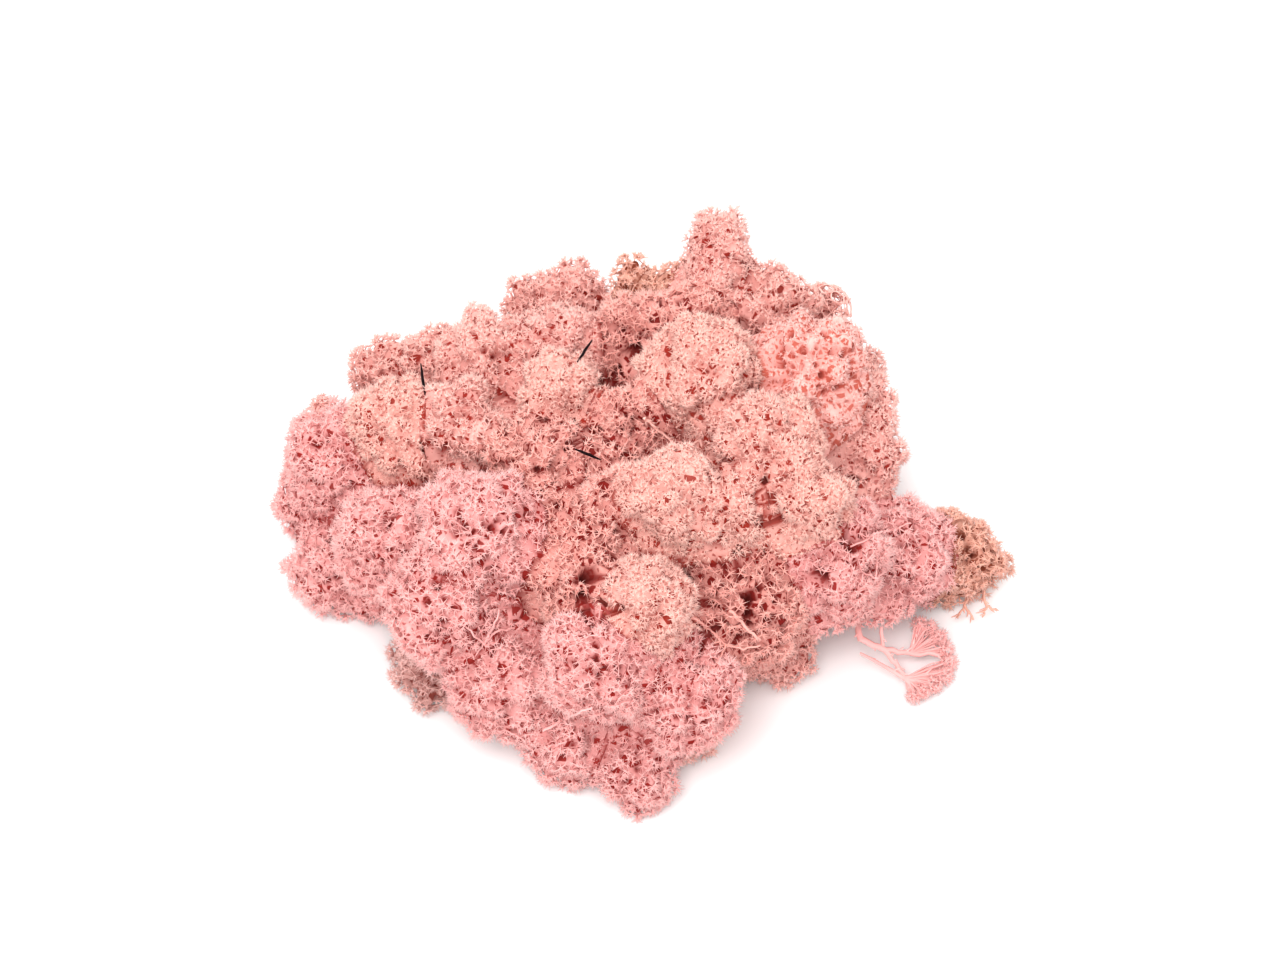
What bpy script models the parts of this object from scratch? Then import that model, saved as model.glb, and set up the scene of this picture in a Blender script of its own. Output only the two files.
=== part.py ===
"""Reindeer moss clump: a heap of cauliflower-like lichen heads, modelled in metres with +Z up."""

import math
import random

import bmesh
import bpy
from mathutils import Matrix, Vector, noise
from mathutils.bvhtree import BVHTree

MM = 0.001
SEED = 20

# The heads are listed as the photograph shows them, seen from this far above the horizon.
VIEW_ELEVATION_DEG = 56.0

# Real gap kept between neighbouring heads, which touch on the real clump.
GAP = 0.4 * MM
# A head is a core with branchlets that stand out of it: the core's share of the head's radius.
CORE_SHARE = 0.87
# How far a lump of the core rises or sinks, and how wide it is, as shares of the radius.
LUMP_RISE = 0.16
LUMP_WIDTH = 0.55
# Each head takes its lumps from its own place in the noise, this far apart at most.
LUMP_PATTERNS = 50.0
# Towards its root a head is drawn out and grows wider, by these shares of its radius.
DRAWN_OUT = 1.1
WIDER = 0.12
# The branchlets reach the head's radius, give or take this share of it, and lean at random.
BRANCHLET_SPREAD = 0.05
BRANCHLET_LEAN = 0.3
# Heads in sight that are wider than this have the finer core.
FINE_CORE_RADIUS = 11.7 * MM
# Branchlets grow where the cosine of the angle to the head's root is under this.
BARE_COSINE = 0.3
# A head's root lies between it and the clump's middle, by this share of the way, near the ground.
ROOT_SHARE = 0.6
ROOT_HEIGHT = 10.0 * MM
STEMS_PER_HEAD = 3
STEM_STEPS = 2
STEM_STEP_SHARE = 0.4
STEM_TAPER = 0.6
# The farthest that a head may reach from its centre, in radii.
CELL_REACH = 3.0
# A corner nearer than this to a cutting plane counts as on it.
CUT_DISTANCE = 0.0001 * MM

HEAD_ROUGHNESS = 0.85
PEACH = (0.89, 0.49, 0.41)
PINK = (0.81, 0.34, 0.34)
LOW_PINK = (0.87, 0.43, 0.44)
TAN = (0.66, 0.31, 0.22)
BACK_PINK = (0.86, 0.42, 0.37)
SHADED = (0.56, 0.17, 0.14)
NEEDLE_BROWN = (0.045, 0.016, 0.014)

# Each head: name, millimetres across and up the picture from its middle, height of the
# head's centre above the ground, radius, colour.
HEADS = (
    ("finger_tip", 18.2, 79.5, 50, 7.0, PEACH),
    ("finger_base", 16.5, 70.0, 44, 8.0, PEACH),
    ("back_brown_left", -2.0, 73.5, 36, 4.4, TAN),
    ("back_brown_right", 5.0, 69.5, 38, 6.0, TAN),
    ("fan_left", -24.0, 66.5, 26, 8.0, BACK_PINK),
    ("fan_right", -16.5, 67.5, 30, 8.8, BACK_PINK),
    ("back_shaded_left", 0.0, 58.5, 42, 10.2, SHADED),
    ("back_shaded_right", 11.5, 61.5, 44, 9.2, SHADED),
    ("back_right", 28.5, 64.0, 38, 11.0, BACK_PINK),
    ("lacy_rim", 42.0, 65.2, 28, 6.6, PEACH),
    ("crown", 13.5, 49.5, 53, 12.8, PEACH),
    ("lattice", 37.0, 49.5, 44, 14.0, LOW_PINK),
    ("right_rim_back", 48.8, 52.5, 28, 7.0, PEACH),
    ("right_rim", 49.0, 43.0, 32, 8.8, PEACH),
    ("crown_right_upper", 27.5, 34.5, 54, 11.0, PEACH),
    ("crown_right_lower", 35.5, 22.0, 48, 10.2, PEACH),
    ("right_rim_front", 51.0, 30.5, 28, 8.4, PEACH),
    ("column_top", 5.5, 23.5, 54, 10.6, PEACH),
    ("column_side", 18.0, 20.0, 49, 8.8, PEACH),
    ("column_bottom", 2.0, 0.5, 46, 10.2, PEACH),
    ("cream_head", -17.0, 45.5, 48, 9.6, PEACH),
    ("cream_back", -18.5, 56.0, 41, 10.6, PEACH),
    ("left_back", -34.0, 53.5, 38, 11.6, PEACH),
    ("left_back_pair", -46.0, 53.0, 31, 8.4, BACK_PINK),
    ("left_back_rim", -57.0, 49.5, 24, 9.2, SHADED),
    ("left_rim_small", -71.0, 38.5, 17, 7.0, SHADED),
    ("left_cream", -53.0, 38.5, 37, 11.4, PEACH),
    ("left_cream_right", -38.5, 39.5, 42, 10.2, PEACH),
    ("left_outer", -67.5, 31.0, 26, 12.4, PINK),
    ("left_rim_low", -75.2, 21.5, 11.0, 9.2, PINK),
    ("left_front_low", -68.5, 7.0, 9.0, 11.0, LOW_PINK),
    ("left_front", -55.5, 13.0, 30, 12.0, PINK),
    ("mound_top", -35.0, 15.5, 47, 14.0, PINK),
    ("valley_back", -22.5, 29.5, 44, 11.2, SHADED),
    ("valley_middle", -9.0, 17.5, 45, 9.6, SHADED),
    ("valley_upper", -2.5, 39.5, 48, 8.4, SHADED),
    ("valley_dark", -8.0, 30.5, 43, 8.0, SHADED),
    ("valley_front", -13.0, 4.5, 42, 9.6, SHADED),
    ("mound_left", -42.5, -0.5, 35, 13.0, PINK),
    ("mound_front", -9.0, -12.0, 37, 12.4, PINK),
    ("low_left_grey", -45.0, -14.5, 7.6, 10.2, LOW_PINK),
    ("front_left", -30.0, -17.5, 19.0, 12.8, LOW_PINK),
    ("front_low", -15.5, -30.0, 9.0, 10.6, LOW_PINK),
    ("front_tip", -1.0, -36.0, 8.0, 9.6, LOW_PINK),
    ("front_right", 9.5, -20.0, 25, 12.4, PINK),
    ("front_right_low", 10.5, -27.5, 7.0, 8.0, PEACH),
    ("right_low", 30.0, -11.0, 7.4, 9.2, BACK_PINK),
    ("stem_hollow", 22.5, -1.0, 29, 12.8, SHADED),
    ("right_front", 42.0, 9.0, 32, 12.8, PINK),
    ("right_outer", 57.0, 9.5, 17.0, 12.8, LOW_PINK),
    ("tan_head", 73.0, 9.5, 9.0, 10.2, TAN),
    ("hidden_back_left", -28.0, 47.5, 11, 14.5, SHADED),
    ("hidden_back_middle", 2.0, 51.5, 10, 15.0, SHADED),
    ("hidden_back_right", 32.0, 48.0, 12, 15.5, SHADED),
    ("hidden_middle", 0.0, 10.5, 17, 19.0, SHADED),
    ("hidden_left", -36.0, 12.0, 20, 15.0, SHADED),
)

# The open sprig, whose bare forked branches show beside the clump. Each branch runs from one
# place to the next and tapers: millimetres across and up the picture, height, radius.
SPRIG_BRANCHES = (
    ((47.3, -2.3, 10.3, 0.9), (48.8, -9.0, 8.0, 1.1)),
    ((48.4, -8.4, 8.3, 1.1), (54.6, -11.4, 6.0, 1.0)),
    ((54.2, -11.2, 6.1, 1.0), (60.2, -12.0, 4.6, 0.75)),
    ((54.2, -11.2, 6.1, 1.0), (56.6, -14.0, 5.2, 0.75)),
    ((56.2, -13.4, 5.4, 0.8), (58.4, -17.6, 4.2, 0.8)),
    ((58.1, -17.0, 4.3, 0.8), (60.4, -20.4, 3.3, 0.7)),
    ((48.6, -11.9, 5.6, 0.45), (58.3, -17.3, 4.3, 0.8)),
    ((53.4, -6.0, 9.0, 0.6), (53.6, -11.0, 6.4, 0.7)),
    ((59.8, -12.0, 4.7, 0.8), (62.2, -5.6, 5.0, 0.7)),
    ((59.8, -12.0, 4.7, 0.8), (65.8, -8.4, 4.6, 0.7)),
    ((59.8, -12.0, 4.7, 0.8), (67.6, -12.2, 4.0, 0.7)),
    ((58.1, -17.2, 4.3, 0.8), (67.4, -16.2, 3.6, 0.7)),
    ((58.1, -17.2, 4.3, 0.8), (63.8, -19.0, 3.4, 0.7)),
)
# The tufts at the sprig's rim, in the same way.
SPRIG_TUFTS = (
    (62.2, -5.4, 5.0, 2.6),
    (65.6, -8.0, 4.6, 3.0),
    (67.8, -12.0, 4.0, 3.2),
    (67.6, -16.2, 3.6, 3.1),
    (64.2, -19.2, 3.4, 3.0),
    (60.4, -20.6, 3.2, 2.8),
)
SPRIG_SIDES = 4
SPRIG_CORE_SHARE = 0.72
SPRIG_SPREAD = 0.08

# Dark needles that lie caught between the heads: millimetres across and up the picture at both
# ends, how much higher the first end is than the second, and the thickest radius.
NEEDLES = (
    ("needle_left", (-47.8, 51.2), (-46.8, 44.8), 3.0, 0.40),
    ("needle_middle", (-10.8, 56.4), (-13.2, 52.0), 1.0, 0.42),
    ("needle_valley", (-13.6, 32.6), (-8.8, 31.2), 1.5, 0.55),
)
# A needle starts this high and slides along the line of sight, step by step, until it lies on
# the heads.
NEEDLE_START = 75.0
NEEDLE_STEP = 0.2 * MM
NEEDLE_STEPS = 400
NEEDLE_SIDES = 6
NEEDLE_TIP_SHARE = 0.45


def clear_scene():
    for item in list(bpy.data.objects):
        bpy.data.objects.remove(item, do_unlink=True)


def world_place(across, up, height):
    """Turns a place in the picture and a height, in millimetres, into metres in the world."""
    angle = math.radians(VIEW_ELEVATION_DEG)
    depth = (up - height * math.cos(angle)) / math.sin(angle)
    return Vector((across, depth, height)) * MM


def make_material(name, color, roughness):
    material = bpy.data.materials.new(name)
    material.use_nodes = True
    shader = material.node_tree.nodes["Principled BSDF"]
    shader.inputs["Base Color"].default_value = (*color, 1.0)
    shader.inputs["Roughness"].default_value = roughness
    shader.inputs["Metallic"].default_value = 0.0
    material.diffuse_color = (*color, 1.0)
    return material


def add_object(name, bm, place, parent, color):
    mesh = bpy.data.meshes.new(name)
    bmesh.ops.recalc_face_normals(bm, faces=bm.faces)
    bm.to_mesh(mesh)
    bm.free()
    item = bpy.data.objects.new(name, mesh)
    bpy.context.collection.objects.link(item)
    item.parent = parent
    item.location = place
    mesh.materials.append(make_material(name + "_finish", color, HEAD_ROUGHNESS))
    return item


def core_ball(radius, fine):
    """A ball of 180 even triangles, or of 80."""
    bm = bmesh.new()
    if fine:
        bmesh.ops.create_icosphere(bm, subdivisions=1, radius=radius)
        bmesh.ops.subdivide_edges(bm, edges=bm.edges, cuts=2, use_grid_fill=True)
    else:
        bmesh.ops.create_icosphere(bm, subdivisions=2, radius=radius)
    for vert in bm.verts:
        vert.co = vert.co.normalized() * radius
    return bm


def shape_core(bm, radius, inward, offset):
    """Makes the ball bulge like a cauliflower, and draws it out towards its root like a drop."""
    for vert in bm.verts:
        spot = vert.co / (radius * LUMP_WIDTH) + offset
        facing = max(0.0, vert.co.normalized().dot(inward))
        vert.co *= CORE_SHARE * (1.0 + LUMP_RISE * noise.noise(spot))
        along = inward * vert.co.dot(inward)
        across = (vert.co - along) * (1.0 + WIDER * facing)
        vert.co = across + along + inward * radius * DRAWN_OUT * facing**2


def grow_stems(bm, radius, inward):
    """Draws out the faces that look most towards the clump's root as tapered stems."""
    faces = sorted(bm.faces, key=lambda face: -face.normal.dot(inward))
    chosen = []
    for face in faces:
        corners = set(face.verts)
        if all(corners.isdisjoint(other.verts) for other in chosen):
            chosen.append(face)
        if len(chosen) == STEMS_PER_HEAD:
            break
    shift = inward * radius * STEM_STEP_SHARE
    for tip in chosen:
        for _ in range(STEM_STEPS):
            tip = bmesh.ops.extrude_discrete_faces(bm, faces=[tip])["faces"][0]
            middle = tip.calc_center_median()
            for vert in tip.verts:
                vert.co = middle + (vert.co - middle) * STEM_TAPER + shift


def grow_branchlets(bm, radius, inward, walls, draw):
    """Raises a pointed branchlet from each open face of the head, but not on its stem side."""
    outer = []
    for face in bm.faces:
        middle = face.calc_center_median()
        inside = all(middle.dot(way) < far for way, far in walls)
        if inside and middle.normalized().dot(inward) < BARE_COSINE:
            outer.append(face)
    points = bmesh.ops.poke(bm, faces=outer)["verts"]
    for vert in points:
        away = vert.co.normalized()
        lean = Vector([draw.uniform(-1.0, 1.0) for _ in range(3)]) * BRANCHLET_LEAN
        rise = 1.0 - CORE_SHARE + draw.uniform(-BRANCHLET_SPREAD, BRANCHLET_SPREAD)
        vert.co += (away + lean) * rise * radius


def cut_side(bm, place, normal):
    """Cuts away what lies past a plane and closes the cut."""
    every = bm.verts[:] + bm.edges[:] + bm.faces[:]
    cut = bmesh.ops.bisect_plane(
        bm, geom=every, dist=CUT_DISTANCE, plane_co=place, plane_no=normal, clear_outer=True
    )["geom_cut"]
    rim = [part for part in cut if isinstance(part, bmesh.types.BMEdge)]
    if rim:
        bmesh.ops.contextual_create(bm, geom=rim)


def cell_walls(index, centres, radii):
    """The planes that part a head from its neighbours: each a direction and how far it is."""
    centre, radius = centres[index], radii[index]
    walls = [(Vector((0.0, 0.0, -1.0)), centre.z)]
    for other, (other_centre, other_radius) in enumerate(zip(centres, radii)):
        way = other_centre - centre
        length = way.length
        if other == index or length > math.sqrt(3.0) * CELL_REACH * (radius + other_radius):
            continue
        far = (length**2 + radius**2 - other_radius**2) / (2.0 * length)
        walls.append((way.normalized(), far - GAP / 2.0))
    return walls


def head_cell(radius, walls):
    """The space that a head may fill: a block cut by the planes to its neighbours."""
    bm = bmesh.new()
    bmesh.ops.create_cube(bm, size=2.0 * radius * CELL_REACH)
    for way, far in walls:
        cut_side(bm, way * far, way)
    return bm


def add_head(index, parent, centres, radii):
    name, color = HEADS[index][0], HEADS[index][5]
    centre, radius = centres[index], radii[index]
    draw = random.Random(SEED + index)
    offset = Vector([draw.uniform(0.0, LUMP_PATTERNS) for _ in range(3)])
    root = Vector((centre.x * ROOT_SHARE, centre.y * ROOT_SHARE, ROOT_HEIGHT))
    inward = (root - centre).normalized()
    walls = cell_walls(index, centres, radii)
    fine = radius > FINE_CORE_RADIUS and not name.startswith("hidden")
    bm = core_ball(radius, fine)
    shape_core(bm, radius, inward, offset)
    bm.normal_update()
    grow_stems(bm, radius, inward)
    grow_branchlets(bm, radius, inward, walls, draw)
    head = add_object("head_" + name, bm, centre, parent, color)
    cell = add_object("cell_" + name, head_cell(radius, walls), centre, parent, color)
    cell.hide_render = True
    cell.display_type = "WIRE"
    trim = head.modifiers.new("Trim to its cell", "BOOLEAN")
    trim.operation = "INTERSECT"
    trim.solver = "EXACT"
    trim.object = cell
    return head


def loose_object(name, bm):
    mesh = bpy.data.meshes.new(name)
    bm.to_mesh(mesh)
    bm.free()
    return bpy.data.objects.new(name, mesh)


def rod(name, first, second):
    """A tapered branch between two places, each given as in SPRIG_BRANCHES."""
    start, end = world_place(*first[:3]), world_place(*second[:3])
    way = end - start
    turn = way.to_track_quat("Z", "Y").to_matrix().to_4x4()
    bm = bmesh.new()
    bmesh.ops.create_cone(
        bm,
        cap_ends=True,
        segments=SPRIG_SIDES,
        radius1=first[3] * MM,
        radius2=second[3] * MM,
        depth=way.length,
        matrix=Matrix.Translation((start + end) / 2.0) @ turn,
    )
    return loose_object(name, bm)


def sprig_tuft(name, centre, radius, draw):
    """A small ball with pointed branchlets all over."""
    bm = bmesh.new()
    bmesh.ops.create_icosphere(bm, subdivisions=1, radius=radius * SPRIG_CORE_SHARE)
    points = bmesh.ops.poke(bm, faces=bm.faces)["verts"]
    for vert in points:
        reach = 1.0 + draw.uniform(-SPRIG_SPREAD, SPRIG_SPREAD)
        vert.co = vert.co.normalized() * radius * reach
    bmesh.ops.translate(bm, verts=bm.verts, vec=centre)
    return loose_object(name, bm)


def add_sprig(parent):
    """Joins the sprig's branches and tufts in one solid."""
    draw = random.Random(SEED)
    pieces = bpy.data.collections.new("sprig_pieces")
    bpy.context.scene.collection.children.link(pieces)
    for i, (first, second) in enumerate(SPRIG_BRANCHES[1:]):
        pieces.objects.link(rod(f"sprig_branch_{i}", first, second))
    for i, (across, up, height, radius) in enumerate(SPRIG_TUFTS):
        place = world_place(across, up, height)
        pieces.objects.link(sprig_tuft(f"sprig_tuft_{i}", place, radius * MM, draw))
    stem = rod("head_open_sprig", *SPRIG_BRANCHES[0])
    stem.data.materials.append(make_material("open_sprig_finish", LOW_PINK, HEAD_ROUGHNESS))
    bpy.context.collection.objects.link(stem)
    join = stem.modifiers.new("Join the branches", "BOOLEAN")
    join.operation = "UNION"
    join.solver = "MANIFOLD"
    join.operand_type = "COLLECTION"
    join.collection = pieces
    bpy.context.view_layer.objects.active = stem
    stem.select_set(True)
    bpy.ops.object.modifier_apply(modifier=join.name)
    for piece in list(pieces.objects):
        bpy.data.objects.remove(piece, do_unlink=True)
    bpy.data.collections.remove(pieces)
    stem.parent = parent
    return stem


def world_surface(solids):
    """One searchable surface of several objects as they are shown, in the world's frame."""
    bpy.context.view_layer.update()
    seen = bpy.context.evaluated_depsgraph_get()
    corners, faces = [], []
    for item in solids:
        shown = item.evaluated_get(seen)
        first = len(corners)
        corners += [shown.matrix_world @ vert.co for vert in shown.data.vertices]
        faces += [[first + i for i in face.vertices] for face in shown.data.polygons]
    return BVHTree.FromPolygons(corners, faces), corners


def add_needle(name, first, second, rise, radius, parent, heads):
    """A needle, thickest in its middle, which is let down on the heads."""
    start = world_place(*first, NEEDLE_START + rise / 2.0)
    end = world_place(*second, NEEDLE_START - rise / 2.0)
    way = end - start
    bm = bmesh.new()
    bmesh.ops.create_cone(
        bm,
        cap_ends=True,
        segments=NEEDLE_SIDES,
        radius1=radius * NEEDLE_TIP_SHARE,
        radius2=radius * NEEDLE_TIP_SHARE,
        depth=way.length,
    )
    sides = [edge for edge in bm.edges if abs(edge.calc_length() - way.length) < radius]
    parts = bmesh.ops.subdivide_edges(bm, edges=sides, cuts=1)["geom_inner"]
    middle = [part for part in parts if isinstance(part, bmesh.types.BMVert)]
    bmesh.ops.scale(bm, verts=middle, vec=Vector((1.0, 1.0, 0.0)) / NEEDLE_TIP_SHARE)
    bmesh.ops.rotate(bm, verts=bm.verts, matrix=way.to_track_quat("Z", "Y").to_matrix())
    needle = add_object(name, bm, (start + end) / 2.0, parent, NEEDLE_BROWN)
    angle = math.radians(VIEW_ELEVATION_DEG)
    slide = Vector((0.0, math.cos(angle), -math.sin(angle))) * NEEDLE_STEP
    for _ in range(NEEDLE_STEPS):
        needle.location += slide
        if heads.overlap(world_surface([needle])[0]):
            needle.location -= slide
            break
    return needle


def centre_on_origin(parent, corners):
    """Moves the clump so that the origin is at its bottom, in the middle of its outline."""
    middle_x = (min(p.x for p in corners) + max(p.x for p in corners)) / 2.0
    middle_y = (min(p.y for p in corners) + max(p.y for p in corners)) / 2.0
    parent.location = (-middle_x, -middle_y, 0.0)


def main():
    clear_scene()
    clump = bpy.data.objects.new("moss_clump", None)
    bpy.context.collection.objects.link(clump)
    centres = [world_place(*head[1:4]) for head in HEADS]
    radii = [head[4] * MM for head in HEADS]
    solids = [add_head(i, clump, centres, radii) for i in range(len(HEADS))]
    solids.append(add_sprig(clump))
    heads, corners = world_surface(solids)
    for name, first, second, rise, radius in NEEDLES:
        add_needle(name, first, second, rise, radius * MM, clump, heads)
    centre_on_origin(clump, corners)


main()
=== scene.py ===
import math
import random

import bmesh
import bpy
import numpy as np
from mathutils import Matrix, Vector, noise
from mathutils.kdtree import KDTree


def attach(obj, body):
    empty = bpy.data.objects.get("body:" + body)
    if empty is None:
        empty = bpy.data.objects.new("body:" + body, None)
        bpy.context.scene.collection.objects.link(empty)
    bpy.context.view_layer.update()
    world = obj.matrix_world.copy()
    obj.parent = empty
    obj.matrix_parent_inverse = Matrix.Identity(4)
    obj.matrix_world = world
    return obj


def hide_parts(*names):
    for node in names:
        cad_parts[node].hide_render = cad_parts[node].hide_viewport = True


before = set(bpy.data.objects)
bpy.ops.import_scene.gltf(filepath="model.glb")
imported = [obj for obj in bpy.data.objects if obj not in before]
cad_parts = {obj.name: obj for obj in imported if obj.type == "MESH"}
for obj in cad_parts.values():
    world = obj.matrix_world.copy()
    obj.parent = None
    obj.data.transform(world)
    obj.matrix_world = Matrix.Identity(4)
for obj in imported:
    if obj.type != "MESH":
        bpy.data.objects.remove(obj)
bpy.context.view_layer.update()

MM = 0.001
SEED = 20

# The picture's angle above the horizon, where the middle of the tables below stands in the
# world, what the camera looks at, its lens, and how wide the picture is at the clump.
VIEW_ELEVATION = math.radians(56.0)
VIEW_WAY = Vector((0.0, -math.cos(VIEW_ELEVATION), math.sin(VIEW_ELEVATION)))
CLUMP_SHIFT = Vector((0.93, -6.06, 0.0)) * MM
VIEW_TARGET = Vector((0.93, 5.55, 30.0)) * MM
LENS_MM = 100.0
SENSOR_MM = 36.0
PICTURE_PIXELS = 1280
PIXEL_MM = 0.22
PICTURE_WIDTH = PICTURE_PIXELS * PIXEL_MM * MM

# The lights: name, place, size, power, colour.
LIGHTS = (
    ("top light", (-0.15, 0.30, 0.75), 0.4, 1.8, (1.0, 0.99, 0.98)),
    ("front light", (-0.12, -0.40, 0.85), 0.45, 5.6, (1.0, 1.0, 1.0)),
)
WORLD_STRENGTH = 1.12
FLOOR_SIZE = 3.0
FLOOR_GREY = 0.92

# The form of a head, as the CAD part has it: how far it is drawn out towards its root and how
# much wider it gets on the way, where the root lies, and how far away a neighbour can be.
DRAWN_OUT = 1.1
WIDER = 0.12
ROOT_SHARE = 0.6
ROOT_HEIGHT = 10.0 * MM
CELL_REACH = 3.0
GAP = 0.1 * MM

# Cavities and stems within this many radii open a head's surface.
GAP_REACH = 1.8

# Neighbouring heads run into each other over about this depth, and the joined surface is
# found in this many steps outward from a head's centre.
BLEND = 1.5 * MM
BLEND_SUNK = 0.2 * MM
BLEND_REACH = 2.3
MARCH_START = 0.96
MARCH_STEPS = 7
FAR_AWAY = 9.0

# Relief of the surface: width and height of the broad swellings, of the lobes and of the
# small tufts. Heads under the full radius have less of the first two. A crease counts in full
# at the given share of a lobe's width.
SWELL_WIDTH = 8.5 * MM
SWELL_HEIGHT = 3.4 * MM
LOBE_WIDTH = 6.5 * MM
LOBE_DEPTH = 2.6 * MM
LOBE_MIDDLE = 0.45
TUFT_WIDTH = 3.3 * MM
TUFT_DEPTH = 1.3 * MM
TUFT_MIDDLE = 0.4
CREASE_SHARE = 0.75
FULL_RELIEF_RADIUS = 10.5 * MM

# The way that the surface faces is found from two points this far beside each point, across
# directions that this slanting one gives.
SIDE_STEP = 0.07
SLANTING = (0.31, 0.17, 0.93)

# Stars: how many places are tried for each, how many times a ball's area the surface has, how
# uneven their spacing is and how much wider on the side that faces away, where none stand,
# and how deep in the surface they start, as a share of their arms.
TRIES_PER_SITE = 6.0
RELIEF_AREA = 1.6
UNEVEN_WIDTH = 4.0 * MM
UNEVEN = 0.4
AWAY_SPACING = 1.4
AWAY_FROM = -0.25
WALL_MARGIN = 0.03 * MM
LEAST_ROOM = 0.9
LOWEST_FACING = 0.85
STAR_ROOM = 0.45 * MM
STAR_DEPTH = 0.7
# The arms of a star: how many, how far they turn off an even spread, how far they lean, in
# degrees, and how their lengths vary. Beside a hole they are longer by the fringe's share.
ARM_COUNTS = (4, 5, 5, 6)
ARM_TURN = 0.4
ARM_LEAN = (15.0, 65.0)
ARM_LENGTHS = (0.75, 1.3)
FRINGE = 0.35
FRINGE_WIDTH = 1.0 * MM

# Radii of the arms, of their points and of the bridges, in millimetres. Then how near to a tip
# a bridge counts and how many spacings it may reach, how close points are merged, and the
# lowest places that tips and branches may reach.
ARM_WIDTH = 0.15
POINT_WIDTH = 0.001
BRIDGE_WIDTH = 0.15
BRIDGE_TIP = 0.55
BRIDGE_REACH = 2.0
MERGE_DISTANCE = 0.004 * MM
LOWEST_TIP = 0.1 * MM
LOWEST_BRANCH = 0.25 * MM

# The first level of the branches that carry the stars: spacing in star spacings, step inward
# as a share of the core's depth, radius, and nearness to a tip. From level to level these
# change by the next four shares.
CARRIER_SPACING = 1.9
CARRIER_STEP = 0.42
CARRIER_WIDTH = 0.17
CARRIER_TIP = 0.45
NEXT_SPACING = 1.9
NEXT_STEP = 1.5
NEXT_WIDTH = 1.7
NEXT_TIP = 0.6

# Rims of open holes: radius of the branch in millimetres, points round the hole, depth under
# the tips in millimetres, how oval they are, how far they stand off the hole, and how far they
# keep from the planes to the neighbours.
RIM_WIDTH = 0.26
RIM_POINTS = 11
RIM_SUNK = 0.6
RIM_OVAL = (0.6, 0.95)
RIM_REACH = (1.05, 1.6)
RIM_MARGIN = 0.5 * MM

# The core: how far neighbouring cores run into each other, how wide the strip is where they
# meet and how much painted shade it gets, and how large, deep and soft-edged the open holes
# are. The deepest of them are cavities, which get a darker red of painted shade.
CORE_OVERLAP = 0.8 * MM
LEAST_CORE = 0.2 * MM
SEAM_WIDTH = 1.5 * MM
SEAM_SHADE = 0.35
FINE_CORE_RADIUS = 8.0 * MM
PITS_TRIED = 1500
LEAST_PIT = 0.55
PIT_SPREAD = 1.3
PIT_DEPTH = 1.0 * MM
PIT_STEEPNESS = 1.4
RIM_SOFT = 0.3 * MM
RIM_FADE = 1.6
CAVITY_SHARE = 1.25
CAVITY_FROM = 2.0 * MM
CAVITY_FADE = 1.2 * MM

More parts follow.
